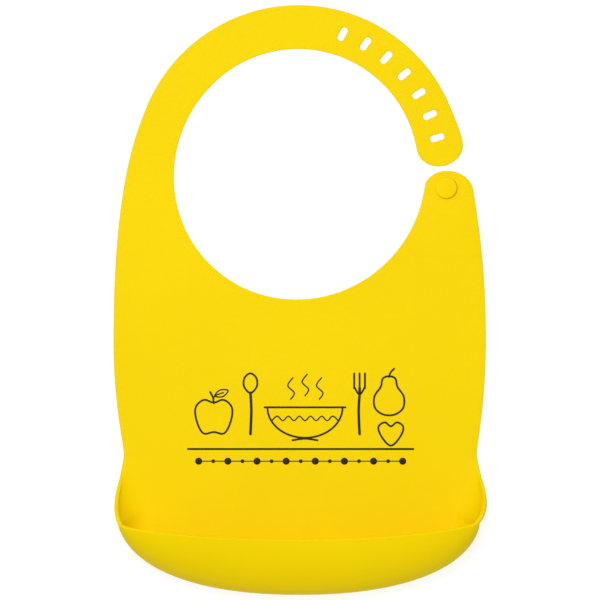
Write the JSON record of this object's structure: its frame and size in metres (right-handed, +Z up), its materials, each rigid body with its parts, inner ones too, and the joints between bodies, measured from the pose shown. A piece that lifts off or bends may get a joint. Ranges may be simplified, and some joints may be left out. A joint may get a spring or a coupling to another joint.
{
  "type": "silicone bib",
  "caption": "Soft one-piece feeding bib with a catcher pocket, a slotted neck strap that fastens on a moulded button, and printed line drawings of food.",
  "frame": {"origin": "on the table, under the middle of the outline of the bib lying on its back", "axes": "+Z up off the table, out of the printed front face; +Y from the catcher pocket to the neck strap; +X towards the button"},
  "size_m": [0.2082, 0.3289, 0.0366],
  "materials": {
    "silicone": "satin moulded silicone, bright yellow",
    "ink": "matt screen-printed ink, brownish black"
  },
  "bodies": {
    "root": {"apron_panel": "silicone", "pocket_left_side": "silicone", "pocket_right_side": "silicone", "pocket_floor": "silicone", "print_rule": "ink", "print_bead_row": "ink", "print_bowl": "ink", "print_steam_left": "ink", "print_steam_middle": "ink", "print_steam_right": "ink", "print_spoon": "ink", "print_fork": "ink", "print_apple": "ink", "print_pear": "ink", "print_heart": "ink"},
    "chest": {"chest_panel": "silicone", "left_shoulder": "silicone", "right_shoulder": "silicone"},
    "tab": {"button_tab": "silicone", "button_stem": "silicone", "button_cap": "silicone"},
    "strap_side": {"strap_rise": "silicone"},
    "strap_top": {"strap_crown": "silicone"},
    "strap_upper_slots": {"strap_slots": "silicone"},
    "strap_end": {"strap_tip": "silicone"},
    "pocket_front": {"pocket_front_wall": "silicone"}
  },
  "joints": [
    {"name": "chest_fold", "type": "hinge", "parent": "root", "child": "chest", "pos_m": [0, -0.014, 0.0025], "axis": [1, 0, 0], "range_deg": [0, 150], "stiffness_Nm_per_rad": 0.02},
    {"name": "tab_flex", "type": "hinge", "parent": "chest", "child": "tab", "pos_m": [0.082, 0.036, 0.0025], "axis": [1, 0, 0], "range_deg": [0, 35], "stiffness_Nm_per_rad": 0.004},
    {"name": "strap_root_flex", "type": "hinge", "parent": "chest", "child": "strap_side", "pos_m": [-0.07437, 0.10284, 0.0025], "axis": [-0.9272, 0.3746, 0], "range_deg": [-35, 0], "stiffness_Nm_per_rad": 0.002},
    {"name": "strap_side_flex", "type": "hinge", "parent": "strap_side", "child": "strap_top", "pos_m": [-0.03798, 0.14325, 0.0025], "axis": [-0.4695, 0.8829, 0], "range_deg": [-35, 0], "stiffness_Nm_per_rad": 0.0016},
    {"name": "strap_top_flex", "type": "hinge", "parent": "strap_top", "child": "strap_upper_slots", "pos_m": [0.01451, 0.1511, 0.0025], "axis": [0.1908, 0.9816, 0], "range_deg": [-35, 0], "stiffness_Nm_per_rad": 0.0016},
    {"name": "strap_end_flex", "type": "hinge", "parent": "strap_upper_slots", "child": "strap_end", "pos_m": [0.05325, 0.13149, 0.0025], "axis": [0.6782, 0.7349, 0], "range_deg": [-35, 0], "stiffness_Nm_per_rad": 0.0016},
    {"name": "pocket_front_flex", "type": "hinge", "parent": "root", "child": "pocket_front", "pos_m": [0, -0.163, 0.0138], "axis": [1, 0, 0], "range_deg": [-20, 25], "stiffness_Nm_per_rad": 0.08}
  ]
}
